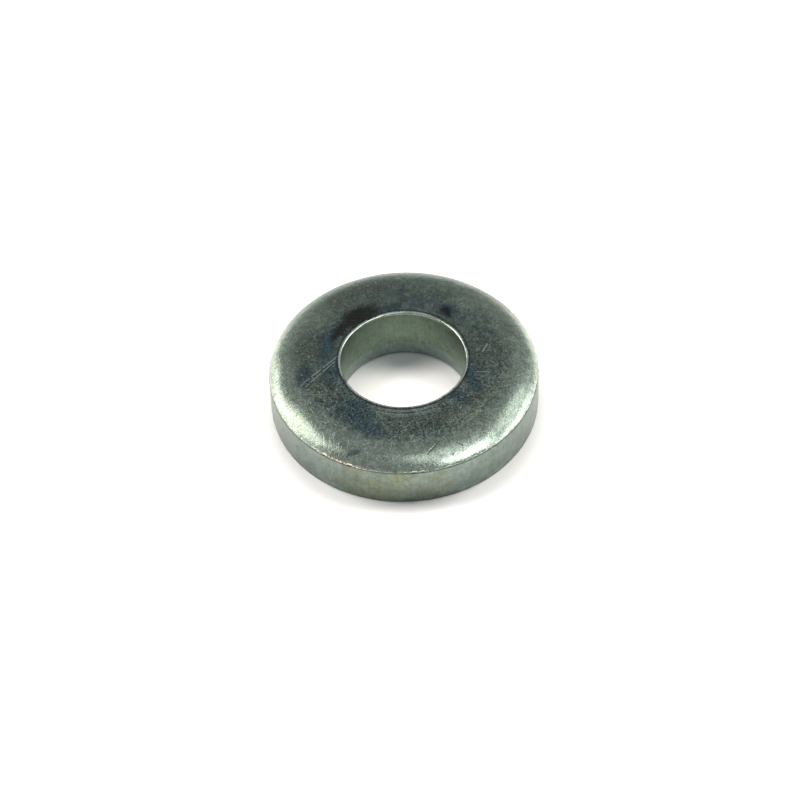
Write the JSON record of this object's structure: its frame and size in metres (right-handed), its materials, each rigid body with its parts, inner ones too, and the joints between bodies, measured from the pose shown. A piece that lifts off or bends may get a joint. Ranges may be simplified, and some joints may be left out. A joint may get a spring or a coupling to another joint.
{
  "type": "flat washer",
  "caption": "Thick flat washer stamped from steel plate and zinc plated, with a wide rolled upper rim, a sharp crest and a plain round bore for a bolt.",
  "frame": {"origin": "centre of the bore in the plane of the flat underside", "axes": "+Z along the bore axis, up out of the rolled top face; X and Y are alike, because the ring is round"},
  "size_m": [0.022, 0.022, 0.005],
  "materials": {
    "zinc_plated_steel": "zinc plated, satin and finely mottled, with a faint blue-green tint and bluish stains round the bore"
  },
  "bodies": {
    "root": {"flat_washer": "zinc_plated_steel"}
  },
  "joints": []
}
